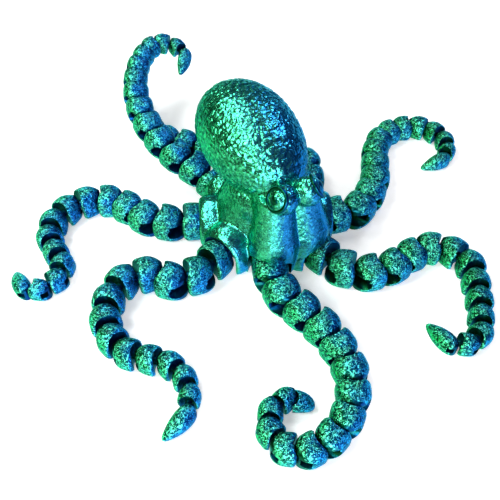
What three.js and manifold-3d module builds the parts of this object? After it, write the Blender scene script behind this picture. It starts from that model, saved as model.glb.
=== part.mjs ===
// Articulated octopus toy, printed in place: one body and eight arms, each a chain of hooded links on pins.
// Millimetres, +Z up. The face looks toward -Y, the octopus's left is +X, and the floor is z = 0.
import * as THREE from 'three';
import { mergeVertices } from 'three/addons/utils/BufferGeometryUtils.js';
import Module from 'manifold-3d';

// Arms: sizes along the chain, from the body outward
const linksPerArm = 14;
const firstPivotRadius = 40; // body axis to the first pin
const firstPitch = 14.5; // pin to pin on the first link
const pitchStep = 0.45; // each link is this much shorter than the one before it
const tipLength = 14; // last pin to the point of the arm
const firstWidth = 20; // hood width of the first link
const taperPower = 0.3; // how the width follows the length that is left
const jointClearance = 0.45; // gap round every pin, loop and nose

// Link form: shares of the link's own width
const heightShare = 0.92;
const middleShare = 0.46; // height of the nose's axis
const noseRootShare = 0.31; // half width of the nose where it leaves the hood
const noseEndShare = 0.17; // half width of the nose at its blunt end
const pinShare = 0.07; // pin radius
const loopThicknessShare = 0.3;
const pocketFrontShare = 0.38; // half width of the room behind the mouth
const pocketBackShare = 0.26;
const pointShare = 0.06; // half width of the arm's point

// Link form: shares of the link's own pitch, measured from its pin toward its nose
const visorReach = -0.5; // upper lip
const lowerLipReach = -0.4;
const noseRootReach = 0.42;
const noseEndReach = 0.82;
const biteLowReach = -0.12; // side bite of the mouth at its lower edge
const biteHighReach = 0.18; // and at its upper edge, where it is deeper
const pocketReach = 0.27; // back wall of the room behind the mouth
const fusedReach = 0.3; // how far a nose that doesn't move runs on past the next pin

// Hood section: shares of its half width and its height, and how the front is smaller than the belly
const footShare = 0.6;
const bellyHeight = 0.45;
const crownShare = 0.45;
const frontNarrowing = 0.42;
const frontLowering = 0.97;

// Body
const webProfile = [[34, 0], [33, 9], [29, 17], [25, 26], [20, 38]]; // radius and height between the sleeves
const sleeveStart = 8; // radius from which a sleeve of the web runs out over each arm's root
const sleeveEnd = 36.5;
const sleeveRootRadius = 16;
const sleeveEndRadius = 15;
const sleeveHeight = 7.6; // of its axis
const tunnelRadius = 11.2; // room round the first pin under each sleeve's arch
const tunnelTopRadius = 9.6;
const tunnelShoulder = 12; // height at which the tunnel starts to close in
const tunnelHeight = 20.6;
const mantleCentre = [0, 17, 52.7];
const mantleRadius = 26;
const mantleFlatness = 0.93; // height of the mantle's section over its width
const mantleHalfLength = 41.7;
const mantleSwell = 0.1; // how much fatter the back end is
const headCentre = [0, -17, 38];
const headRadii = [16, 14, 20];
const cheekTop = [6.5, -23, 49]; // left cheek, the right one mirrors it
const cheekFoot = [9, -24, 0];
const cheekTopRadius = 9.5;
const cheekFootRadius = 13.5;
const eyeCentre = [6.7, -30.8, 53.6]; // left eye, the right one mirrors it
const eyeRadius = 7.6;
const eyelidRadius = 5.6;
const eyelidThickness = 1.1;
const pupilRadius = 4;
const pupilHeight = 2.4;
const eyeTurn = 75; // degrees from straight ahead to the side
const eyeRise = 32; // degrees above level

// Arms as they lie: bearing of the root, then stretches of equal bends as [links, degrees], left positive.
// Arm r1 has its hoods facing the tip and a sleeve that is set back from its root.
// Arm r4 is held up off the floor. Arms l3 and l4 are curled behind the mantle, l4 under r4.
const arms = [
  {
    name: 'r1',
    bearing: 247.5,
    reversed: true,
    setback: 6,
    bends: [[2, 20], [1, 0], [2, -12], [4, -20], [1, -34], [4, -44]],
  },
  { name: 'r2', bearing: 202.5, bends: [[1, 0], [2, -34], [2, 42], [4, 25], [1, 0], [4, -28]] },
  { name: 'r3', bearing: 157.5, bends: [[1, 0], [2, -20], [1, 10], [5, 29], [1, 5], [4, -44]] },
  { name: 'r4', bearing: 112.5, lift: 18, raise: 1.5, bends: [[2, 5], [8, -10], [1, -28], [3, -44]] },
  { name: 'l1', bearing: 292.5, bends: [[1, 0], [2, 30], [1, 18], [1, -11], [3, -38], [3, -5], [3, -43]] },
  { name: 'l2', bearing: 337.5, bends: [[1, 15], [1, 37], [2, 13], [1, 2], [1, -12], [3, -22], [5, -32]] },
  {
    name: 'l3',
    bearing: 22.5,
    bends: [[1, 44], [1, 34], [1, 15], [2, 2], [2, -14], [1, -23], [1, -30], [5, -35]],
  },
  {
    name: 'l4',
    bearing: 67.5,
    bends: [[1, 34], [1, 23], [2, 10], [1, -12], [2, -19], [1, -8], [3, -3], [3, -7]],
  },
];

// Facets
const pinSides = 5;
const loopSides = 6;
const webSides = 24;
const sleeveSides = 16;
const tunnelSides = 12;
const mantleSides = 20;
const mantleRings = 11;
const joiningTolerance = 0.05; // facets flatter than this are merged

const wasm = await Module();
wasm.setup();

const radians = THREE.MathUtils.degToRad;

function solid(geometry) {
  geometry.deleteAttribute('normal');
  geometry.deleteAttribute('uv');
  const welded = mergeVertices(geometry, 1e-5);
  return new wasm.Manifold(new wasm.Mesh({
    numProp: 3,
    vertProperties: new Float32Array(welded.attributes.position.array),
    triVerts: new Uint32Array(welded.index.array),
  }));
}

function placed(shape, matrix) {
  return shape.transform(matrix.elements);
}

// Closed skin over rings of points; each ring runs anticlockwise as seen from the last ring's end
function loft(rings) {
  const count = rings[0].length;
  const index = [];
  for (let ring = 0; ring + 1 < rings.length; ring += 1) {
    for (let side = 0; side < count; side += 1) {
      const here = ring * count;
      const beyond = here + count;
      const next = (side + 1) % count;
      index.push(here + side, here + next, beyond + next);
      index.push(here + side, beyond + next, beyond + side);
    }
  }
  const last = (rings.length - 1) * count;
  for (let side = 1; side + 1 < count; side += 1) {
    index.push(0, side + 1, side);
    index.push(last, last + side, last + side + 1);
  }
  const geometry = new THREE.BufferGeometry();
  geometry.setAttribute('position', new THREE.Float32BufferAttribute(rings.flat(2), 3));
  geometry.setIndex(index);
  return solid(geometry);
}

// Flat outline of [a, b] pairs pushed along the third axis, centred on it
function pushed(outline, depth) {
  const shape = new THREE.Shape(outline.map(([a, b]) => new THREE.Vector2(a, b)));
  const geometry = new THREE.ExtrudeGeometry(shape, { depth, bevelEnabled: false });
  geometry.translate(0, 0, -depth / 2);
  return geometry;
}

// Upright prism with its corners at the given radius
function upright(radius, low, high, sides, topRadius = radius) {
  const geometry = new THREE.CylinderGeometry(topRadius, radius, high - low, sides);
  geometry.rotateX(Math.PI / 2);
  geometry.translate(0, 0, (low + high) / 2);
  return solid(geometry);
}

// Round bar between two points, with a radius at each end
function bar(start, end, startRadius, endRadius, sides) {
  const from = new THREE.Vector3(...start);
  const way = new THREE.Vector3(...end).sub(from);
  const turn = new THREE.Quaternion().setFromUnitVectors(new THREE.Vector3(0, 0, 1), way.clone().normalize());
  const matrix = new THREE.Matrix4().compose(from, turn, new THREE.Vector3(1, 1, 1));
  return placed(upright(startRadius, 0, way.length(), sides, endRadius), matrix);
}

function linkSize(number) {
  const pitchOf = (link) => firstPitch - pitchStep * (link - 1);
  let before = 0;
  let total = tipLength;
  for (let link = 1; link < linksPerArm; link += 1) {
    total += pitchOf(link);
    if (link < number) before += pitchOf(link);
  }
  const width = firstWidth * ((total - before) / total) ** taperPower;
  const middle = middleShare * width;
  const mouth = noseRootShare * width + jointClearance;
  return {
    number,
    pitch: pitchOf(number),
    length: number === linksPerArm ? tipLength : pitchOf(number),
    width,
    height: heightShare * width,
    middle,
    mouthLow: middle - mouth,
    mouthHigh: middle + mouth,
    pinRadius: pinShare * width,
  };
}

// Section of a hood as [across, up]: flat foot, widest below its middle, narrower crown
function section(size) {
  const half = size.width / 2;
  const outline = [[footShare * half, 0], [half, bellyHeight * size.height], [crownShare * half, size.height]];
  return [...outline, ...outline.map(([across, up]) => [-across, up]).reverse()];
}

function bellyRing(size, x) {
  return section(size).map(([across, up]) => [x, across, up]);
}

function frontRing(size) {
  return section(size).map(([across, up]) => {
    const reach = lowerLipReach + (visorReach - lowerLipReach) * (up / size.height);
    return [reach * size.pitch, across * frontNarrowing, up * frontLowering];
  });
}

function noseRing(size, x, halfShare) {
  const scale = halfShare / 0.5;
  return section(size).map(([across, up]) => [x, across * scale, size.middle + (up - size.middle) * scale]);
}

// What every mouth takes out of a hood: the bite across its whole width
function bite(size) {
  const low = size.mouthLow;
  const high = size.mouthHigh;
  const outline = [
    [2 * visorReach * size.pitch, low],
    [biteLowReach * size.pitch, low],
    [biteHighReach * size.pitch, high],
    [2 * visorReach * size.pitch, high],
  ];
  const geometry = pushed(outline, 2 * size.width);
  geometry.rotateX(Math.PI / 2);
  return solid(geometry);
}

// And what a moving joint takes out behind the bite: room for the loop to turn in
function pocket(size) {
  const front = pocketFrontShare * size.width;
  const back = pocketBackShare * size.width;
  const outline = [
    [visorReach * size.pitch, -front],
    [biteLowReach * size.pitch, -front],
    [pocketReach * size.pitch, -back],
    [pocketReach * size.pitch, back],
    [biteLowReach * size.pitch, front],
    [visorReach * size.pitch, front],
  ];
  const geometry = pushed(outline, size.mouthHigh - size.mouthLow);
  geometry.translate(0, 0, size.middle);
  return solid(geometry);
}

function pin(size) {
  const overlap = 0.2;
  return upright(size.pinRadius, size.mouthLow - overlap, size.mouthHigh + overlap, pinSides);
}

// Loop at the end of a nose, round the pin of the next hood
function loop(size, pinRadius) {
  const half = loopThicknessShare * size.width / 2;
  const outer = pocketReach * size.pitch - jointClearance;
  const inner = (pinRadius + jointClearance) / Math.cos(Math.PI / pinSides);
  const ring = upright(outer, size.middle - half, size.middle + half, loopSides);
  const hole = upright(inner, size.middle - 2 * half, size.middle + 2 * half, pinSides);
  return ring.subtract(hole).translate([size.pitch, 0, 0]);
}

// One link in its own frame: origin on the floor under its pin, nose toward +X.
// The mouth is moving (pin and pocket) or fixed; the nose is a loop, is fused into the next hood, or is a point.
function link(size, next, movingMouth, nose) {
  const rings = [frontRing(size), bellyRing(size, 0)];
  if (nose === 'point') {
    rings.push(noseRing(size, size.length, pointShare));
  } else {
    rings.push(noseRing(size, noseEndReach * size.pitch, noseEndShare));
  }
  if (nose === 'fused') {
    rings.push(noseRing(size, size.pitch + fusedReach * next.pitch, noseEndShare));
  }
  let shape = loft(rings).subtract(bite(size));
  if (movingMouth) shape = shape.subtract(pocket(size)).add(pin(size));
  if (nose === 'loop') shape = shape.add(loop(size, next.pinRadius));
  return shape;
}

// Last link of the arm whose hoods face the tip: its nose is fused into the mouth behind it
function reversedTip(size, before) {
  return loft([
    noseRing(size, -fusedReach * before.pitch, noseEndShare),
    noseRing(size, 0.18 * size.pitch, noseEndShare),
    noseRing(size, 0.5 * size.pitch, noseRootShare),
    bellyRing(size, 0.75 * size.pitch),
    noseRing(size, size.length, pointShare),
  ]);
}

function bendsOf(arm) {
  return arm.bends.flatMap(([count, degrees]) => Array(count).fill(degrees));
}

// Frame of the arm's root, with the first pin at its origin
function rootFrame(arm) {
  const { middle } = linkSize(1);
  const frame = new THREE.Matrix4().makeRotationZ(radians(arm.bearing));
  frame.multiply(new THREE.Matrix4().makeTranslation(firstPivotRadius, 0, middle + (arm.raise ?? 0)));
  frame.multiply(new THREE.Matrix4().makeRotationY(-radians(arm.lift ?? 0)));
  return frame.multiply(new THREE.Matrix4().makeTranslation(0, 0, -middle));
}

// Frames of the arm's links, each at its inner pin with the arm running toward +X
function linkFrames(arm) {
  const frame = rootFrame(arm);
  return bendsOf(arm).map((bend, position) => {
    frame.multiply(new THREE.Matrix4().makeRotationZ(radians(bend)));
    const here = frame.clone();
    frame.multiply(new THREE.Matrix4().makeTranslation(linkSize(position + 1).pitch, 0, 0));
    return here;
  });
}

function turnedRound(frame, pitch) {
  return frame.clone()
    .multiply(new THREE.Matrix4().makeTranslation(pitch, 0, 0))
    .multiply(new THREE.Matrix4().makeRotationZ(Math.PI));
}

// Two neighbouring links as one piece: the joint between them keeps the bend it has in the photograph
function linkPair(arm, frames, number) {
  const inner = linkSize(number);
  const outer = linkSize(number + 1);
  const after = linkSize(number + 2);
  const innerFrame = frames[number - 1];
  const outerFrame = frames[number];
  const isTip = outer.number === linksPerArm;
  if (arm.reversed) {
    const before = linkSize(Math.max(1, number - 1));
    const first = placed(link(inner, before, false, 'loop'), turnedRound(innerFrame, inner.pitch));
    const second = isTip
      ? placed(reversedTip(outer, inner), outerFrame)
      : placed(link(outer, inner, true, 'fused'), turnedRound(outerFrame, outer.pitch));
    return first.add(second);
  }
  const first = placed(link(inner, outer, true, 'fused'), innerFrame);
  const second = placed(link(outer, after, false, isTip ? 'point' : 'loop'), outerFrame);
  return first.add(second);
}

// The body's half of an arm's first joint
function armRoot(arm) {
  const size = linkSize(1);
  const frame = rootFrame(arm);
  if (arm.reversed) {
    const rings = [
      frontRing(size),
      bellyRing(size, 0),
      bellyRing(size, noseRootReach * size.pitch),
      noseRing(size, size.pitch + arm.setback, noseRootShare),
    ];
    const hood = loft(rings).subtract(bite(size)).subtract(pocket(size)).add(pin(size));
    return placed(hood, turnedRound(frame, 0));
  }
  const nose = loft([
    noseRing(size, 0, noseRootShare),
    noseRing(size, noseRootReach * size.pitch, noseRootShare),
    noseRing(size, noseEndReach * size.pitch, noseEndShare),
  ]);
  const whole = nose.add(loop(size, size.pinRadius));
  return placed(whole, frame.multiply(new THREE.Matrix4().makeTranslation(-size.pitch, 0, 0)));
}

function web() {
  const [, topHeight] = webProfile[webProfile.length - 1];
  const outline = [[0, 0], ...webProfile, [0, topHeight]].map(([radius, up]) => new THREE.Vector2(radius, up));
  const geometry = new THREE.LatheGeometry(outline, webSides);
  geometry.rotateX(Math.PI / 2);
  let shape = solid(geometry);
  for (const arm of arms) {
    const start = [sleeveStart, 0, sleeveHeight];
    const end = [sleeveEnd - (arm.setback ?? 0), 0, sleeveHeight];
    const sleeve = bar(start, end, sleeveRootRadius, sleeveEndRadius, sleeveSides);
    shape = shape.add(sleeve.rotate([0, 0, arm.bearing]));
  }
  return shape;
}

// Room under a sleeve's arch for the arm's first link to turn in
function tunnel(arm) {
  const wall = upright(tunnelRadius, -1, tunnelShoulder, tunnelSides);
  const roof = upright(tunnelRadius, tunnelShoulder, tunnelHeight, tunnelSides, tunnelTopRadius);
  const room = wall.add(roof).translate([firstPivotRadius - (arm.setback ?? 0), 0, 0]);
  return room.rotate([0, 0, arm.bearing]);
}

function mantle() {
  const outline = [];
  for (let ring = 0; ring <= mantleRings; ring += 1) {
    const along = -Math.cos(Math.PI * ring / mantleRings);
    const radius = mantleRadius * Math.sqrt(Math.max(0, 1 - along * along)) * (1 + mantleSwell * along);
    outline.push(new THREE.Vector2(radius, mantleHalfLength * along));
  }
  const geometry = new THREE.LatheGeometry(outline, mantleSides);
  geometry.scale(1, 1, mantleFlatness);
  geometry.translate(...mantleCentre);
  return solid(geometry);
}

function head() {
  const geometry = new THREE.SphereGeometry(1, 18, 9);
  geometry.rotateX(Math.PI / 2);
  geometry.scale(...headRadii);
  geometry.translate(...headCentre);
  return solid(geometry);
}

// A place given for the left of the head, on the side asked for: 1 is left and -1 right
function onSide([across, along, up], side) {
  return [side * across, along, up];
}

// Raised eye with an eyelid ring and a domed pupil
function eye(side) {
  const ball = solid(new THREE.SphereGeometry(eyeRadius, 10, 6));
  const lidDepth = Math.sqrt(eyeRadius ** 2 - eyelidRadius ** 2);
  const lid = solid(new THREE.TorusGeometry(eyelidRadius, eyelidThickness, 4, 10).translate(0, 0, lidDepth));
  const dome = new THREE.SphereGeometry(pupilRadius, 8, 4).rotateX(Math.PI / 2);
  const pupil = solid(dome.scale(1, 1, pupilHeight / pupilRadius).translate(0, 0, lidDepth));
  const facing = new THREE.Matrix4().makeTranslation(...onSide(eyeCentre, side));
  facing.multiply(new THREE.Matrix4().makeRotationZ(side * radians(eyeTurn)));
  facing.multiply(new THREE.Matrix4().makeRotationX(radians(90 - eyeRise)));
  return placed(ball.add(lid).add(pupil), facing);
}

function cheek(side) {
  return bar(onSide(cheekFoot, side), onSide(cheekTop, side), cheekFootRadius, cheekTopRadius, sleeveSides);
}

function body() {
  let shape = web().add(mantle()).add(head());
  for (const side of [1, -1]) shape = shape.add(cheek(side)).add(eye(side));
  for (const arm of arms) shape = shape.subtract(tunnel(arm));
  for (const arm of arms) shape = shape.add(armRoot(arm));
  return shape.trimByPlane([0, 0, 1], 0);
}

function named(shape, name, colour) {
  const { vertProperties, triVerts } = shape.simplify(joiningTolerance).getMesh();
  const geometry = new THREE.BufferGeometry();
  geometry.setAttribute('position', new THREE.BufferAttribute(vertProperties, 3));
  geometry.setIndex(new THREE.BufferAttribute(triVerts, 1));
  geometry.computeVertexNormals();
  const material = new THREE.MeshStandardMaterial({ color: colour, roughness: 0.35, metalness: 0.3 });
  const mesh = new THREE.Mesh(geometry, material);
  mesh.name = name;
  return mesh;
}

const octopus = new THREE.Group();
octopus.name = 'articulated_octopus';
octopus.add(named(body(), 'body', 0x1a8a5a));
for (const arm of arms) {
  const frames = linkFrames(arm);
  for (let number = 1; number < linksPerArm; number += 2) {
    const name = `arm_${arm.name}_links_${number}_${number + 1}`;
    octopus.add(named(linkPair(arm, frames, number), name, 0x14727f));
  }
}

export default octopus;
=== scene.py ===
# Articulated octopus toy, printed in place in two-colour silk PLA: its look, fitted to the part's CAD frame.
# Pieces are modelled in millimetres and scaled to metres when they are finished.
# The face looks toward -Y, the octopus's left is +X, and the floor is z = 0.
import math

import bmesh
import bpy
from mathutils import Matrix, Vector, noise


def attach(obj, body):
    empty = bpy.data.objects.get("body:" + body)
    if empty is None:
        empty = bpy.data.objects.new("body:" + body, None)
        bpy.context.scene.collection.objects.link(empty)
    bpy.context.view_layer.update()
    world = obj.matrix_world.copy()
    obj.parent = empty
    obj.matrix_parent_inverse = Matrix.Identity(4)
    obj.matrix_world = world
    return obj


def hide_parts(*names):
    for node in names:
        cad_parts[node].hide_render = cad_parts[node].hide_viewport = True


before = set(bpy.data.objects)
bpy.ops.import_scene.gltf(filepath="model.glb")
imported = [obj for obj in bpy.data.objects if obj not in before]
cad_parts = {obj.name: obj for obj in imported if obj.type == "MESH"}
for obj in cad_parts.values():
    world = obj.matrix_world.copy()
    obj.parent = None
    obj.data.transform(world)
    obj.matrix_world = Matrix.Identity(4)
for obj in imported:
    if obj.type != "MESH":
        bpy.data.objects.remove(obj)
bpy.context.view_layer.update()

METRES = 0.001  # in a millimetre

# Silk filament from its green side to its blue one, darkened with painted shade in its hollows and creases,
# and paled with painted highlights on its raised strokes and bumps
SILK_IN_PAINTED_SHADE = [(0.0, "#022C0C"), (0.3, "#024826"), (0.5, "#024A5C"), (0.7, "#03408C"), (1.0, "#03226C")]
SILK_IN_PAINTED_HIGHLIGHT = [(0.0, "#14C84C"), (0.3, "#58F4B0"), (0.5, "#5CF0E4"), (0.7, "#30B0FC"), (1.0, "#1064E4")]
BLUE_SIDE = (0.90, -0.44, 0.0)  # the way that the blue side faces
DRIFT_SIZE = 6  # across a patch whose colour strays from what its facing gives
BUMP_HIGHLIGHT_SHARE = 0.5  # how much the leather's bumps count beside the fuzz in where a highlight is painted
FLAKE_SHARE = 0.95
FLAKE_TINT = "#90FFF4"  # the flakes stay coloured at a glance
PLA_IOR = 1.46
GLOSS_WEIGHT = 0.04  # the clear plastic over the flakes
GLOSS_ROUGHNESS = 0.15

# Arms: the same chain as the CAD model's
LINKS_PER_ARM = 14
FIRST_PIVOT_RADIUS = 40
FIRST_PITCH = 14.5
PITCH_STEP = 0.45
TIP_LENGTH = 14
FIRST_WIDTH = 20
TAPER_POWER = 0.3
HEIGHT_SHARE = 0.92  # of the link's width
MIDDLE_SHARE = 0.46  # of the link's width: height of the nose's axis
FIRST_HEIGHT = HEIGHT_SHARE * FIRST_WIDTH

# Bearing of each root, then stretches of equal bends as (links, degrees), left turns positive
ARMS = {
    "r1": {"bearing": 247.5, "reversed": True, "setback": 6,
           "bends": [(2, 20), (1, 0), (2, -12), (4, -20), (1, -34), (4, -44)]},
    "r2": {"bearing": 202.5,
           "bends": [(1, 0), (2, -34), (2, 42), (4, 25), (1, 0), (4, -28)]},
    "r3": {"bearing": 157.5,
           "bends": [(1, 0), (2, -20), (1, 10), (5, 29), (1, 5), (4, -44)]},
    "r4": {"bearing": 112.5, "lift": 18, "raise": 1.5,
           "bends": [(2, 5), (8, -10), (1, -28), (3, -44)]},
    "l1": {"bearing": 292.5,
           "bends": [(1, 0), (2, 30), (1, 18), (1, -11), (3, -38), (3, -5), (3, -43)]},
    "l2": {"bearing": 337.5,
           "bends": [(1, 15), (1, 37), (2, 13), (1, 2), (1, -12), (3, -22), (5, -32)]},
    "l3": {"bearing": 22.5,
           "bends": [(1, 44), (1, 34), (1, 15), (2, 2), (2, -14), (1, -23), (1, -30), (5, -35)]},
    "l4": {"bearing": 67.5,
           "bends": [(1, 34), (1, 23), (2, 10), (1, -12), (2, -19), (1, -8), (3, -3), (3, -7)]},
}

# Links are modelled in the first one's size, and the others are scaled from it. Their outlines behind the
# pin are (along, half width, low, high), as shares of the pitch, the half width and the height.
# A hood's front is round about its own pin and its back hollow about the next one, so that they pass.
FRONT_RADIUS = 9.6
FRONT_STEP = 10  # degrees
FRONT_STEPS = 8
FRONT_SLOPE = 0.2  # of the height: how much lower the crown is at the front's end
FRONT_LOW = -0.12  # of the height: what is below the floor is flattened onto it
BACK_RADIUS = 10.7
BACK_SIDES = 64
TUCKED_IN = -0.48  # of the pitch: what lies in front of this sits in the neighbour's hollow, and is smooth, coloured darker with painted shade
HOOD = [(0.15, 0.97, -0.12, 1.0), (0.30, 0.965, -0.12, 0.985), (0.38, 0.93, -0.06, 0.955),
        (0.425, 0.86, 0.0, 0.91), (0.45, 0.76, 0.08, 0.85)]
NOSE = [(0.215, 0.28, 0.37, 0.62), (0.86, 0.24, 0.38, 0.61)]
NOSE_SIDES = 16
POINT = [(0.40, 0.94, -0.11, 0.95), (0.70, 0.86, -0.08, 0.85), (0.98, 0.71, -0.04, 0.71),
         (1.22, 0.55, 0.0, 0.57), (1.42, 0.39, 0.03, 0.44), (1.55, 0.24, 0.07, 0.33),
         (1.61, 0.09, 0.13, 0.23)]
BLUNT_POINT = [(0.40, 1.05, -0.12, 1.0), (0.75, 1.02, -0.11, 0.97), (1.05, 0.93, -0.09, 0.89),
               (1.30, 0.77, -0.05, 0.76), (1.48, 0.55, 0.01, 0.60), (1.58, 0.32, 0.09, 0.44),
               (1.61, 0.12, 0.18, 0.32)]
POINT_CURL = 0.08  # of the pitch: how far the point curls to the right one pitch out
ROOT_HOOD_BACK = [(0.60, 1.0, -0.12, 1.0), (1.0, 0.97, -0.10, 0.98), (1.4, 0.90, -0.05, 0.93)]
LINK_SIDES = 40
LINK_SQUARENESS = 2.6  # 2 is an oval section
BITTEN_LINKS = 8  # links from the root whose mouths have a bite through both sides
BITE_CENTRE = (-0.55, 0.42)  # of the pitch and the height
BITE_RADII = (0.36, 0.24)
BITE_SIDES = 48
SWING_PLAN = [(0.20, 0.36), (-0.12, 0.62), (-0.62, 1.26)]  # of the pitch and the half width: the nose's room
SWING_SPAN = (0.31, 0.68)  # of the height
LIP_BEVEL = 0.3
LIP_ANGLE = 48  # degrees: a sharper edge is a lip
LIP_LOW = 0.02  # of the height: an edge below this is on the floor, and stays sharp
PIN_SHARE = 0.06  # of the width: the pin's radius
PIN_SPAN = (0.14, 0.86)  # of the height
PIN_SIDES = 16
LOOP_RADIUS = 2.15  # to the middle of its wall
LOOP_WALL = 1.1
LOOP_HEIGHT = 5
SHARP_ANGLE = 40  # degrees: a sharper edge is shaded as an edge

# Body
MANTLE_CENTRE = (0, 17, 52.7)
MANTLE_RADIUS = 26
MANTLE_FLATNESS = 0.93
MANTLE_HALF_LENGTH = 41.7
MANTLE_SWELL = 0.1
MANTLE_SIDES = 64
HEAD_CENTRE = (0, -17, 38)
HEAD_RADII = (16, 14, 20)
NECK_CENTRE = (0, -3, 30)
NECK_RADII = (22, 22, 18)
EYE_CENTRE = (6.7, -30.8, 53.6)
EYE_RADIUS = 7.6
EYELID_RADIUS = 5.6
EYELID_THICKNESS = 1.1
EYELID_SIDES = 40
PUPIL_RADIUS = 3.5
PUPIL_HEIGHT = 2.8
EYE_TURN = 75
EYE_RISE = 32
CHEEK = [((6.5, -23, 49), 9), ((8.5, -27.5, 23), 13.5), ((9, -24, 0), 13.5)]  # points down it, radius there
CORE_PROFILE = [(0, 0), (34, 0), (33, 9), (29, 17), (25, 26), (20, 38), (0, 40)]  # radius, height
CORE_SIDES = 64
SLEEVE = [(8, 16), (29, 15.6), (33.5, 14.8), (36, 13.6), (37, 12.4)]  # out from the axis, radius
SLEEVE_HEIGHT = 7.6
SLEEVE_SIDES = 40
TUNNEL_RADIUS = 11.7
TUNNEL_DEPTH = 2  # below the floor, so that the cut goes right through
TUNNEL_WALL = 11  # height of its upright wall, under the dome
TUNNEL_DOME = 9.6
TUNNEL_SIDES = 40
SKIN_GRAIN = 0.55  # across a face of the body's skin
SKIN_EASE = 0.5  # share of the way to its neighbours' middle that a smoothing pass moves a corner
SKIN_PASSES = 10
BODY_SHARP_ANGLE = 60

# Leathery skin: bumps with creases between them, their heights as shares of the leather's
LEATHER_SIZE = 3.0  # across one bump
LEATHER_HEIGHT = 0.55
LEATHER_WARP = 0.7  # of a bump: how far the bumps are pulled out of an even spread
LEATHER_WARP_SIZE = 3.5  # across a stretch that is pulled one way
LEATHER_SEED = 1  # without it, the bumps would lie differently in each run
BUMP_TOP = 0.5
BUMP_FALL = 0.4  # toward the bump's rim
CREASE_WIDTH = 0.45  # of a bump
CREASE_DEPTH = 0.7
LEAST_LEATHER = 0.4  # of the mantle's, on the head and web
LEATHER_START = 20  # height above which the leather grows; it is full at twice this height
LEATHER_LEAN = 0.6  # of a height, that each step back counts for
RAISED = "raised"  # attribute of the body's skin: how far a spot stands out of the leather's hollows; from it the material paints highlight on what stands out and shade in the creases

# Studio, in metres and watts
PAPER = "#F6F6F6"
PAPER_ROUGHNESS = 0.9
PAPER_GLOW = 0.42
PAPER_REACH = 4
ROOM_LIGHT = 0.08
SOFT_BOXES = {  # place, side, power
    "back_soft_box": ((-0.16, 0.46, 0.66), 0.26, 2.8),
    "left_soft_box": ((-0.50, 0.02, 0.62), 0.32, 4.2),
    "front_soft_box": ((-0.34, -0.66, 0.30), 0.40, 5.6),
    "right_soft_box": ((0.42, 0.20, 0.62), 0.20, 1.3),
}

# Camera fitted to the photograph: place and aim in metres, lens and sensor in millimetres
CAMERA_PLACE = (-0.1097, -0.2055, 0.2574)
CAMERA_AIM = (-0.0150, -0.0114, 0.0)
CAMERA_LENS = 43.2
CAMERA_SENSOR = 36


def srgb(code):
    """Linear colour of an sRGB hex code."""
    parts = [int(code[place:place + 2], 16) / 255 for place in (1, 3, 5)]
    linear = [part / 12.92 if part <= 0.04045 else ((part + 0.055) / 1.055) ** 2.4 for part in parts]
    return (*linear, 1)


def add_node(tree, kind, inputs=None, **settings):
    """Adds a node, gives it its settings, and fills its inputs with values or other nodes' outputs."""
    made = tree.nodes.new(kind)
    for name, value in settings.items():
        setattr(made, name, value)
    for name, value in (inputs or {}).items():
        if isinstance(value, bpy.types.NodeSocket):
            tree.links.new(value, made.inputs[name])
        else:
            made.inputs[name].default_value = value
    return made


def new_material(name):
    """A material, its node tree and its main shader."""
    material = bpy.data.materials.new(name)
    material.use_nodes = True
    return material, material.node_tree, material.node_tree.nodes["Principled BSDF"]


def per_metre(size):
    """Scale of a pattern whose features are this many millimetres apart."""
    return 1 / (size * METRES)


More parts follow.
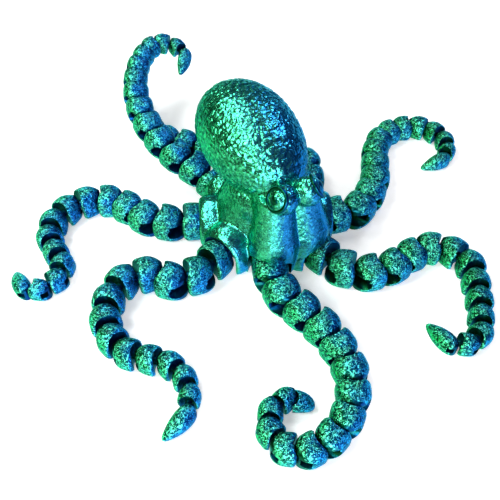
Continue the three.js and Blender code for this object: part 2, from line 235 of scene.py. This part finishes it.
def silk_pla(name, fuzz_size, fuzz_height, highlight_levels, drift_by, roughness):
    """Two-colour silk PLA, extruded: flakes give a metallic sheen, and because each track is green along one
    side and blue along the other, the colour goes with the way the surface faces. On top of that, highlights
    are painted paler on the raised strokes of the fuzzy skin and on the leather's bumps, and shade is painted
    darker in the hollows and creases; highlight_levels says between which levels of the pattern the painted
    shade turns into the painted highlight, and drift_by how far the colour strays from what the facing gives."""
    material, tree, shader = new_material(name)
    place = add_node(tree, "ShaderNodeTexCoord")
    facing = add_node(tree, "ShaderNodeVectorMath", {0: place.outputs["Normal"], 1: BLUE_SIDE},
                      operation="DOT_PRODUCT")
    drift = add_node(tree, "ShaderNodeTexNoise", {
        "Vector": place.outputs["Object"], "Scale": per_metre(DRIFT_SIZE), "Detail": 4.0, "Roughness": 0.7})
    wander = add_node(tree, "ShaderNodeMapRange", {
        "Value": drift.outputs["Fac"], "To Min": -drift_by, "To Max": drift_by})
    turned = add_node(tree, "ShaderNodeMath", {0: facing.outputs["Value"], 1: wander.outputs["Result"]},
                      operation="ADD")
    share = add_node(tree, "ShaderNodeMapRange", {"Value": turned.outputs["Value"], "From Min": -1.0})
    fuzz = add_node(tree, "ShaderNodeTexNoise", {
        "Vector": place.outputs["Object"], "Scale": per_metre(fuzz_size),
        "Detail": 1.0, "Roughness": 0.5, "Distortion": 1.2})
    # Painted light: what stands out of the fuzz and the leather is coloured paler as a highlight, and its
    # hollows darker as shade
    leather = add_node(tree, "ShaderNodeAttribute", attribute_name=RAISED)
    level = add_node(tree, "ShaderNodeMath", {
        0: leather.outputs["Fac"], 1: BUMP_HIGHLIGHT_SHARE, 2: fuzz.outputs["Fac"]}, operation="MULTIPLY_ADD")
    highlight_share = add_node(tree, "ShaderNodeMapRange", {
        "Value": level.outputs["Value"], "From Min": highlight_levels[0], "From Max": highlight_levels[1]})
    mixed = add_node(tree, "ShaderNodeMix", {"Factor": highlight_share.outputs["Result"]}, data_type="RGBA")
    # A Mix node's sockets for two colours are 6 and 7, and the one for their mixture is 2
    for stops, socket in ((SILK_IN_PAINTED_SHADE, mixed.inputs[6]), (SILK_IN_PAINTED_HIGHLIGHT, mixed.inputs[7])):
        colour = add_node(tree, "ShaderNodeValToRGB", {"Fac": share.outputs["Result"]})
        ramp = colour.color_ramp.elements
        ramp.remove(ramp[1])
        ramp[0].color = srgb(stops[0][1])
        for position, code in stops[1:]:
            ramp.new(position).color = srgb(code)
        tree.links.new(colour.outputs["Color"], socket)
    fuzzy = add_node(tree, "ShaderNodeBump", {
        "Height": fuzz.outputs["Fac"], "Strength": 1.0, "Distance": fuzz_height * METRES})
    tree.links.new(mixed.outputs[2], shader.inputs["Base Color"])
    tree.links.new(fuzzy.outputs["Normal"], shader.inputs["Normal"])
    shader.inputs["Metallic"].default_value = FLAKE_SHARE
    shader.inputs["Roughness"].default_value = roughness
    shader.inputs["IOR"].default_value = PLA_IOR
    shader.inputs["Specular Tint"].default_value = srgb(FLAKE_TINT)
    shader.inputs["Coat Weight"].default_value = GLOSS_WEIGHT
    shader.inputs["Coat Roughness"].default_value = GLOSS_ROUGHNESS
    return material


def white_paper():
    """Matt white paper. It glows for the camera, and for rays off gloss or through glass, so that it shows
    white to them while the light on it, and the object's shadow, come from the lamps."""
    material, tree, shader = new_material("white_paper")
    rays = add_node(tree, "ShaderNodeLightPath").outputs
    mirrored_too = add_node(tree, "ShaderNodeMath", {0: rays["Is Camera Ray"], 1: rays["Is Glossy Ray"]},
                            operation="ADD")
    seen_through_too = add_node(tree, "ShaderNodeMath", {
        0: mirrored_too.outputs["Value"], 1: rays["Is Transmission Ray"]}, operation="ADD")
    glow = add_node(tree, "ShaderNodeMath", {0: seen_through_too.outputs["Value"], 1: PAPER_GLOW},
                    operation="MULTIPLY")
    tree.links.new(glow.outputs["Value"], shader.inputs["Emission Strength"])
    shader.inputs["Emission Color"].default_value = (1, 1, 1, 1)
    shader.inputs["Base Color"].default_value = srgb(PAPER)
    shader.inputs["Roughness"].default_value = PAPER_ROUGHNESS
    return material


def as_object(shape, name):
    """The bmesh as an object in the scene; the bmesh is freed."""
    mesh = bpy.data.meshes.new(name)
    shape.to_mesh(mesh)
    shape.free()
    for _ in range(2):
        mesh.materials.append(None)  # room for the skin and for what a cut lays open, which is coloured darker with painted shade
    made = bpy.data.objects.new(name, mesh)
    bpy.context.scene.collection.objects.link(made)
    return made


def worked(made):
    """A bmesh of the object with its modifiers worked in; the object is removed."""
    mesh = bpy.data.meshes.new_from_object(made.evaluated_get(bpy.context.evaluated_depsgraph_get()))
    bpy.data.objects.remove(made)
    shape = bmesh.new()
    shape.from_mesh(mesh)
    bpy.data.meshes.remove(mesh)
    return shape


def without(shape, cutter):
    """The shape with the cutter's room taken out of it; what the cut lays open gets the second material,
    the smooth one that is coloured darker with painted shade.
    """
    for face in cutter.faces:
        face.material_index = 1
    made = as_object(shape, "cut_piece")
    tool = as_object(cutter, "cutter")
    cut = made.modifiers.new("cut", "BOOLEAN")
    cut.object = tool
    cut.operation = "DIFFERENCE"
    cut.solver = "EXACT"
    left = worked(made)
    bpy.data.objects.remove(tool)
    return left


def joined(*shapes):
    """The shapes in one bmesh, not fused."""
    whole = bmesh.new()
    for shape in shapes:
        mesh = bpy.data.meshes.new("joined")
        shape.to_mesh(mesh)
        shape.free()
        whole.from_mesh(mesh)
        bpy.data.meshes.remove(mesh)
    return whole


def fused(shape, passes):
    """One even skin round everything in the shape, its creases softened by smoothing passes."""
    made = as_object(shape, "fused")
    skin = made.modifiers.new("skin", "REMESH")
    skin.mode = "VOXEL"
    skin.voxel_size = SKIN_GRAIN
    ease = made.modifiers.new("ease", "SMOOTH")
    ease.factor = SKIN_EASE
    ease.iterations = passes
    return worked(made)


def on_floor(vertices):
    """Flattens what lies below the floor onto it."""
    for vert in vertices:
        vert.co.z = max(vert.co.z, 0)


def new_corners(parts):
    """The vertices among what an operator made."""
    return [part for part in parts if isinstance(part, bmesh.types.BMVert)]


def drawn_out(stations, sides, squareness=2):
    """Closed shell along +X: a ring is extruded, moved and resized from station to station."""
    shape = bmesh.new()
    across = Matrix.Rotation(math.pi / 2, 4, "Y")
    bmesh.ops.create_circle(shape, cap_ends=True, segments=sides, radius=1, matrix=across)
    rim = list(shape.verts)
    for vert in rim:
        vert.co /= (abs(vert.co.y) ** squareness + abs(vert.co.z) ** squareness) ** (1 / squareness)
    edges = list(shape.edges)
    before = (0, 1, -1, 1)
    for number, station in enumerate(stations):
        if number:
            new = bmesh.ops.extrude_edge_only(shape, edges=edges)["geom"]
            rim = new_corners(new)
            corners = set(rim)
            edges = [part for part in new
                     if isinstance(part, bmesh.types.BMEdge) and corners.issuperset(part.verts)]
        along, half, low, high = station
        centre = Vector((before[0], 0, (before[2] + before[3]) / 2))
        growth = (1, half / before[1], (high - low) / (before[3] - before[2]))
        bmesh.ops.scale(shape, vec=growth, space=Matrix.Translation(-centre), verts=rim)
        bmesh.ops.translate(shape, vec=Vector((along, 0, (low + high) / 2)) - centre, verts=rim)
        before = station
    bmesh.ops.holes_fill(shape, edges=edges, sides=0)
    bmesh.ops.recalc_face_normals(shape, faces=shape.faces)
    return shape


def ball(centre, radii, fineness=40):
    """Ball or egg with its radii along X, Y and Z."""
    shape = bmesh.new()
    bmesh.ops.create_uvsphere(shape, u_segments=fineness, v_segments=fineness * 2 // 3, radius=1)
    bmesh.ops.scale(shape, vec=radii, verts=shape.verts)
    bmesh.ops.transform(shape, matrix=Matrix.Translation(centre), verts=shape.verts)
    return shape


def rod(start, end, start_radius, end_radius, sides=32):
    """Straight round bar between two points."""
    shape = bmesh.new()
    way = Vector(end) - Vector(start)
    bmesh.ops.create_cone(shape, cap_ends=True, segments=sides, radius1=start_radius, radius2=end_radius,
                          depth=way.length)
    turn = way.to_track_quat("Z", "Y").to_matrix().to_4x4()
    matrix = Matrix.Translation((Vector(start) + Vector(end)) / 2) @ turn
    bmesh.ops.transform(shape, matrix=matrix, verts=shape.verts)
    return shape


def spun(shape, steps):
    """Takes an outline once round the Z axis."""
    bmesh.ops.spin(shape, geom=shape.verts[:] + shape.edges[:], cent=(0, 0, 0), axis=(0, 0, 1),
                   angle=2 * math.pi, steps=steps, use_merge=True)
    bmesh.ops.remove_doubles(shape, verts=shape.verts, dist=0.001)
    bmesh.ops.recalc_face_normals(shape, faces=shape.faces)
    return shape


def ring(radius, wall, height, sides=24, wall_sides=10):
    """Round loop about the Z axis with an oval wall."""
    shape = bmesh.new()
    upright = Matrix.Rotation(math.pi / 2, 4, "X")
    bmesh.ops.create_circle(shape, segments=wall_sides, radius=0.5, matrix=upright)
    bmesh.ops.scale(shape, vec=(wall, 1, height), verts=shape.verts)
    bmesh.ops.translate(shape, vec=(radius, 0, 0), verts=shape.verts)
    return spun(shape, sides)


def to_mesh(shape, name, sharp_angle=SHARP_ANGLE):
    """Mesh of a finished shape, shaded smooth except over its sharper edges."""
    mesh = bpy.data.meshes.new(name)
    shape.to_mesh(mesh)
    shape.free()
    mesh.shade_smooth()
    mesh.set_sharp_from_angle(angle=math.radians(sharp_angle))
    return mesh


def link_pitch(number):
    """Distance between a link's two pins."""
    return FIRST_PITCH - PITCH_STEP * (number - 1)


def link_width(number):
    """Width of a link's hood, from how much of the arm is still to come."""
    lengths = [link_pitch(link) for link in range(1, LINKS_PER_ARM)] + [TIP_LENGTH]
    return FIRST_WIDTH * (sum(lengths[number - 1:]) / sum(lengths)) ** TAPER_POWER


def first_link_stations(shares):
    """Stations of an outline in millimetres, on the first link."""
    return [(along * FIRST_PITCH, half * FIRST_WIDTH / 2, low * FIRST_HEIGHT, high * FIRST_HEIGHT)
            for along, half, low, high in shares]


def swing_room():
    """Flat room in a hood in which the nose of its neighbour swings."""
    shape = bmesh.new()
    low, high = SWING_SPAN
    outline = SWING_PLAN + [(along, -across) for along, across in reversed(SWING_PLAN)]
    corners = [shape.verts.new((along * FIRST_PITCH, across * FIRST_WIDTH / 2, low * FIRST_HEIGHT))
               for along, across in outline]
    foot = shape.faces.new(corners)
    top = bmesh.ops.extrude_face_region(shape, geom=[foot], use_keep_orig=True)["geom"]
    bmesh.ops.translate(shape, vec=(0, 0, (high - low) * FIRST_HEIGHT), verts=new_corners(top))
    bmesh.ops.recalc_face_normals(shape, faces=shape.faces)
    return shape


def side_bite():
    """What a mouth takes out of both sides of a hood."""
    bite = rod((0, -FIRST_WIDTH, 0), (0, FIRST_WIDTH, 0), 1, 1, BITE_SIDES)
    radii = (BITE_RADII[0] * FIRST_PITCH, 1, BITE_RADII[1] * FIRST_HEIGHT)
    centre = (BITE_CENTRE[0] * FIRST_PITCH, 0, BITE_CENTRE[1] * FIRST_HEIGHT)
    bmesh.ops.scale(bite, vec=radii, verts=bite.verts)
    bmesh.ops.translate(bite, vec=centre, verts=bite.verts)
    return bite


def hollow(along):
    """Round hollow in a hood's back, about the pin of its neighbour."""
    low = (along, 0, -FIRST_HEIGHT)
    high = (along, 0, 2 * FIRST_HEIGHT)
    return rod(low, high, BACK_RADIUS, BACK_RADIUS, BACK_SIDES)


def hood_front():
    """Stations of a hood's front, round about its own pin."""
    stations = []
    for step in range(1, FRONT_STEPS + 1):
        angle = math.radians(FRONT_STEP * step)
        along = -FRONT_RADIUS * math.cos(angle) / FIRST_PITCH
        half = FRONT_RADIUS * math.sin(angle) / (FIRST_WIDTH / 2)
        stations.append((along, half, FRONT_LOW, 1 - FRONT_SLOPE * math.cos(angle) ** 2))
    return stations


def hooded(stations, cutters):
    """Hood with its cuts and its pin; the foot is flat on the floor."""
    shape = drawn_out(first_link_stations(stations), LINK_SIDES, LINK_SQUARENESS)
    on_floor(shape.verts)
    # Fronts tucked into the neighbour's hollow get the smooth material, which is coloured darker as painted
    # shade
    for face in shape.faces:
        if face.calc_center_median().x < TUCKED_IN * FIRST_PITCH:
            face.material_index = 1
    for cutter in cutters:
        shape = without(shape, cutter)
    lips = [edge for edge in shape.edges
            if edge.calc_face_angle(0) > math.radians(LIP_ANGLE)
            and min(vert.co.z for vert in edge.verts) > LIP_LOW * FIRST_HEIGHT]
    bmesh.ops.bevel(shape, geom=lips, offset=LIP_BEVEL, offset_type="OFFSET", segments=2, profile=0.5,
                    affect="EDGES", clamp_overlap=True, material=-1)
    low, high = PIN_SPAN
    radius = PIN_SHARE * FIRST_WIDTH
    pin = rod((0, 0, low * FIRST_HEIGHT), (0, 0, high * FIRST_HEIGHT), radius, radius, PIN_SIDES)
    return joined(shape, pin)


def nose():
    """Flat bar with a loop at its far end, one pitch out."""
    bar = drawn_out(first_link_stations(NOSE), NOSE_SIDES, LINK_SQUARENESS)
    # The bar sits in the next hood's mouth: it gets the smooth material, which is coloured darker as painted
    # shade
    for face in bar.faces:
        face.material_index = 1
    loop = ring(LOOP_RADIUS, LOOP_WALL, LOOP_HEIGHT)
    bmesh.ops.translate(loop, vec=(FIRST_PITCH, 0, FIRST_HEIGHT / 2), verts=loop.verts)
    return joined(bar, loop)


def link_mesh(cutters):
    """Hood with a hollow back and a nose."""
    shape = hooded(hood_front() + HOOD, cutters + [hollow(FIRST_PITCH)])
    return to_mesh(joined(shape, nose()), "link")


def curled(shape):
    """Bends an arm's point to the right as it runs out."""
    for vert in shape.verts:
        vert.co.y -= POINT_CURL * max(vert.co.x, 0) ** 2 / FIRST_PITCH
    return shape


def tip_mesh():
    """Last link of an arm: a hood that runs out in a point."""
    shape = hooded(hood_front() + HOOD[:1] + POINT, [swing_room()])
    return to_mesh(curled(shape), "tip")


def reversed_tip_mesh():
    """Last link of the arm whose hoods face its tip: a point with a hollow back, and a bar to its loop."""
    shape = drawn_out(first_link_stations(BLUNT_POINT), LINK_SIDES, LINK_SQUARENESS)
    on_floor(shape.verts)
    shape = curled(without(shape, hollow(0)))
    bar = nose()
    half_turn = Matrix.Rotation(math.pi, 3, "Z")
    bmesh.ops.rotate(bar, cent=(FIRST_PITCH / 2, 0, 0), matrix=half_turn, verts=bar.verts)
    return to_mesh(joined(shape, bar), "reversed_tip")


def root_hood_mesh():
    """Fixed hood under the body, for the first link of the arm whose hoods face its tip."""
    stations = hood_front() + HOOD[:1] + ROOT_HOOD_BACK
    return to_mesh(hooded(stations, [side_bite(), swing_room()]), "root_hood")


def root_frame(arm):
    """Frame of an arm's root, its first pin at the origin."""
    middle = MIDDLE_SHARE * FIRST_WIDTH
    around = Matrix.Rotation(math.radians(arm["bearing"]), 4, "Z")
    out = Matrix.Translation((FIRST_PIVOT_RADIUS, 0, middle + arm.get("raise", 0)))
    tilt = Matrix.Rotation(-math.radians(arm.get("lift", 0)), 4, "Y")
    return around @ out @ tilt @ Matrix.Translation((0, 0, -middle))


def link_frames(arm):
    """Frames of an arm's links, each at its inner pin with the arm running toward +X."""
    place = root_frame(arm)
    frames = []
    for count, bend in arm["bends"]:
        for _ in range(count):
            place = place @ Matrix.Rotation(math.radians(bend), 4, "Z")
            frames.append(place)
            place = place @ Matrix.Translation((link_pitch(len(frames)), 0, 0))
    return frames


def turned_round(place, pitch):
    """A link's frame at its outer pin, facing back along the arm."""
    return place @ Matrix.Translation((pitch, 0, 0)) @ Matrix.Rotation(math.pi, 4, "Z")


def sized(number):
    """Scale from the first link's size to another's."""
    across = link_width(number) / FIRST_WIDTH
    return Matrix.Diagonal((link_pitch(number) / FIRST_PITCH, across, across, 1))


def put_in(mesh, name, place, materials, body, node):
    """Finishes a piece: its mesh in place and in metres, its materials, and the CAD body and node it stands
    for. The foot of a lifted arm stays on the floor."""
    mesh.transform(Matrix.Scale(METRES, 4) @ place)
    on_floor(mesh.vertices)
    mesh.name = name
    for material in materials:
        mesh.materials.append(material)
    made = bpy.data.objects.new(name, mesh)
    bpy.context.scene.collection.objects.link(made)
    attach(made, body)
    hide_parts(node)


def mantle():
    """Egg that lies along Y, wider toward its far end."""
    shape = ball((0, 0, 0), (1, 1, 1), MANTLE_SIDES)
    for vert in shape.verts:
        x, y, z = vert.co
        swell = MANTLE_RADIUS * (1 + MANTLE_SWELL * z)
        vert.co = Vector((x * swell, y * swell * MANTLE_FLATNESS, z * MANTLE_HALF_LENGTH))
    turn = Matrix.Translation(MANTLE_CENTRE) @ Matrix.Rotation(-math.pi / 2, 4, "X")
    bmesh.ops.transform(shape, matrix=turn, verts=shape.verts)
    return shape


def web_core():
    """Round middle of the web, under the head."""
    shape = bmesh.new()
    corners = [shape.verts.new((radius, 0, up)) for radius, up in CORE_PROFILE]
    for start, end in zip(corners, corners[1:]):
        shape.edges.new((start, end))
    return spun(shape, CORE_SIDES)


def sleeve(arm):
    """Part of the web that reaches out over an arm's root."""
    setback = arm.get("setback", 0)
    rings = [(out - setback, radius, SLEEVE_HEIGHT - radius, SLEEVE_HEIGHT + radius)
             for out, radius in SLEEVE]
    shape = drawn_out(rings, SLEEVE_SIDES)
    bearing = Matrix.Rotation(math.radians(arm["bearing"]), 4, "Z")
    bmesh.ops.transform(shape, matrix=bearing, verts=shape.verts)
    return shape


def tunnel(arm):
    """Room under a sleeve's arch, round an arm's first pin."""
    bearing = Matrix.Rotation(math.radians(arm["bearing"]), 4, "Z")
    pivot = bearing @ Vector((FIRST_PIVOT_RADIUS - arm.get("setback", 0), 0, 0))
    top = pivot + Vector((0, 0, TUNNEL_WALL))
    wall = rod(pivot - Vector((0, 0, TUNNEL_DEPTH)), top, TUNNEL_RADIUS, TUNNEL_RADIUS, TUNNEL_SIDES)
    return joined(wall, ball(top, (TUNNEL_RADIUS, TUNNEL_RADIUS, TUNNEL_DOME)))


def cheek(side):
    """Forms of the eyeball and of the fold that runs down from it, on one side of the head."""
    mirrored = Vector((side, 1, 1))
    forms = [ball(mirrored * Vector(EYE_CENTRE), (EYE_RADIUS,) * 3)]
    for (top, top_radius), (foot, foot_radius) in zip(CHEEK, CHEEK[1:]):
        forms.append(rod(mirrored * Vector(top), mirrored * Vector(foot), top_radius, foot_radius))
        forms.append(ball(mirrored * Vector(foot), (foot_radius,) * 3))
    return forms


def leathery(shape):
    """Raises the skin into low bumps with creases between them, lower on the head and web than on the mantle,
    and keeps their heights, from which the material paints highlights on the bumps and shade in the creases."""
    shape.normal_update()
    noise.seed_set(LEATHER_SEED)
    raised = shape.verts.layers.float.new(RAISED)
    for vert in shape.verts:
        spot = vert.co / LEATHER_SIZE + LEATHER_WARP * noise.noise_vector(vert.co / LEATHER_WARP_SIZE)
        nearest, second = noise.voronoi(spot)[0][:2]
        crease = max(0, 1 - (second - nearest) / CREASE_WIDTH)
        height = (vert.co.z + LEATHER_LEAN * vert.co.y) / LEATHER_START - 1
        strength = min(1, max(LEAST_LEATHER, height))
        vert[raised] = strength * (BUMP_TOP - CREASE_DEPTH * crease - BUMP_FALL * nearest ** 2)
    for vert in shape.verts:
        vert.co += vert.normal * LEATHER_HEIGHT * vert[raised]
    on_floor(shape.verts)


def body_shape():
    """Mantle, head, cheeks and web as one print: one skin, with the arches over the arms' roots cut out."""
    forms = [mantle(), ball(HEAD_CENTRE, HEAD_RADII), ball(NECK_CENTRE, NECK_RADII), web_core()]
    forms += cheek(1) + cheek(-1)
    forms += [sleeve(arm) for arm in ARMS.values()]
    shape = fused(joined(*forms), SKIN_PASSES)
    bmesh.ops.bisect_plane(shape, geom=shape.verts[:] + shape.edges[:] + shape.faces[:], clear_inner=True,
                           plane_co=(0, 0, 0), plane_no=(0, 0, 1))
    bmesh.ops.holes_fill(shape, edges=[edge for edge in shape.edges if edge.is_boundary], sides=0)
    tunnels = joined(*[tunnel(arm) for arm in ARMS.values()])
    shape = without(shape, fused(tunnels, passes=0))
    leathery(shape)
    return shape


def eye_frame(side):
    """Frame of an eye at its eyeball's centre, looking along +Z."""
    place = Matrix.Translation((side * EYE_CENTRE[0], EYE_CENTRE[1], EYE_CENTRE[2]))
    turn = Matrix.Rotation(side * math.radians(EYE_TURN), 4, "Z")
    return place @ turn @ Matrix.Rotation(math.radians(90 - EYE_RISE), 4, "X")


def eye_shape():
    """Eyelid ring and domed pupil, facing +Z on the eyeball that the body carries."""
    depth = math.sqrt(EYE_RADIUS ** 2 - EYELID_RADIUS ** 2)
    lid = ring(EYELID_RADIUS, 2 * EYELID_THICKNESS, 2 * EYELID_THICKNESS, EYELID_SIDES)
    bmesh.ops.translate(lid, vec=(0, 0, depth), verts=lid.verts)
    pupil = ball((0, 0, depth), (PUPIL_RADIUS, PUPIL_RADIUS, PUPIL_HEIGHT))
    return joined(lid, pupil)


def soft_box(name, position, size, power):
    """Square lamp that shines at the middle of the floor."""
    lamp = bpy.data.lights.new(name, "AREA")
    lamp.shape = "SQUARE"
    lamp.size = size
    lamp.energy = power
    made = bpy.data.objects.new(name, lamp)
    made.location = position
    made.rotation_euler = (-Vector(position)).to_track_quat("-Z", "Y").to_euler()
    bpy.context.scene.collection.objects.link(made)


# The same filament with different printed surfaces: fuzzy hoods, smoother noses and eyes, leathery body.
# The smooth one is also coloured darker as painted shade, and goes on the noses, the eyes, the hoods'
# tucked-in fronts and what the cuts lay open; the fuzzy and leathery ones get painted highlights on their
# raised parts and painted shade in their hollows.
# The fuzz is drawn coarser than a printer makes it, so that it shows in the render.
fuzzy_pla = silk_pla("silk_pla_fuzzy_skin", fuzz_size=1.1, fuzz_height=0.8, highlight_levels=(0.485, 0.585),
                     drift_by=0.75, roughness=0.28)
smooth_pla_painted_shade = silk_pla("silk_pla_smooth_painted_shade", fuzz_size=1.2, fuzz_height=0.12, highlight_levels=(0.8, 1.7),
                      drift_by=0.6, roughness=0.3)
leathery_pla = silk_pla("silk_pla_leathery", fuzz_size=1.0, fuzz_height=0.12, highlight_levels=(0.14, 0.96),
                        drift_by=0.15, roughness=0.25)

# Body and eyes
body_mesh = to_mesh(body_shape(), "octopus_body", BODY_SHARP_ANGLE)
put_in(body_mesh, "octopus_body", Matrix.Identity(4), [leathery_pla, smooth_pla_painted_shade], "body", "body")
for side, name in ((1, "eye_left"), (-1, "eye_right")):
    put_in(to_mesh(eye_shape(), name), name, eye_frame(side), [smooth_pla_painted_shade], "body", "body")

# Arms: the fixed half of the first joint, then the links, each on the body of its pair
bitten_link = link_mesh([side_bite(), swing_room()])
plain_link = link_mesh([swing_room()])
whole_tip = tip_mesh()
root_hood = root_hood_mesh()
root_nose = to_mesh(nose(), "root_nose")
reversed_tip = reversed_tip_mesh()
skins = [fuzzy_pla, smooth_pla_painted_shade]
for name, arm in ARMS.items():
    root = root_frame(arm)
    if arm.get("reversed"):
        put_in(root_hood.copy(), f"root_{name}", turned_round(root, 0), skins, "body", "body")
    else:
        behind = root @ Matrix.Translation((-FIRST_PITCH, 0, 0))
        put_in(root_nose.copy(), f"root_{name}", behind, skins, "body", "body")
    for number, place in enumerate(link_frames(arm), 1):
        pair = f"arm_{name}_links_{number - 1 + number % 2}_{number + number % 2}"
        is_tip = number == LINKS_PER_ARM
        if arm.get("reversed") and not is_tip:
            place = turned_round(place, link_pitch(number))
        mesh = bitten_link if number <= BITTEN_LINKS else plain_link
        if is_tip:
            mesh = reversed_tip if arm.get("reversed") else whole_tip
        put_in(mesh.copy(), f"arm_{name}_link_{number}", place @ sized(number), skins, pair, pair)

# White paper floor, a faintly lit room and four soft boxes
scene = bpy.context.scene
floor_mesh = bpy.data.meshes.new("floor")
floor_shape = bmesh.new()
bmesh.ops.create_grid(floor_shape, x_segments=1, y_segments=1, size=PAPER_REACH)
floor_shape.to_mesh(floor_mesh)
floor_shape.free()
floor = bpy.data.objects.new("floor", floor_mesh)
scene.collection.objects.link(floor)
floor_mesh.materials.append(white_paper())

world = bpy.data.worlds.new("studio")
world.use_nodes = True
scene.world = world
background = world.node_tree.nodes["Background"]
background.inputs["Color"].default_value = (1, 1, 1, 1)
background.inputs["Strength"].default_value = ROOM_LIGHT
for name, (position, size, power) in SOFT_BOXES.items():
    soft_box(name, position, size, power)

# Camera
camera = bpy.data.cameras.new("camera")
camera.sensor_width = CAMERA_SENSOR
camera.lens = CAMERA_LENS
camera_object = bpy.data.objects.new("camera", camera)
camera_object.location = CAMERA_PLACE
aim = Vector(CAMERA_AIM) - camera_object.location
camera_object.rotation_euler = aim.to_track_quat("-Z", "Y").to_euler()
scene.collection.objects.link(camera_object)
scene.camera = camera_object
scene.view_settings.view_transform = "Standard"
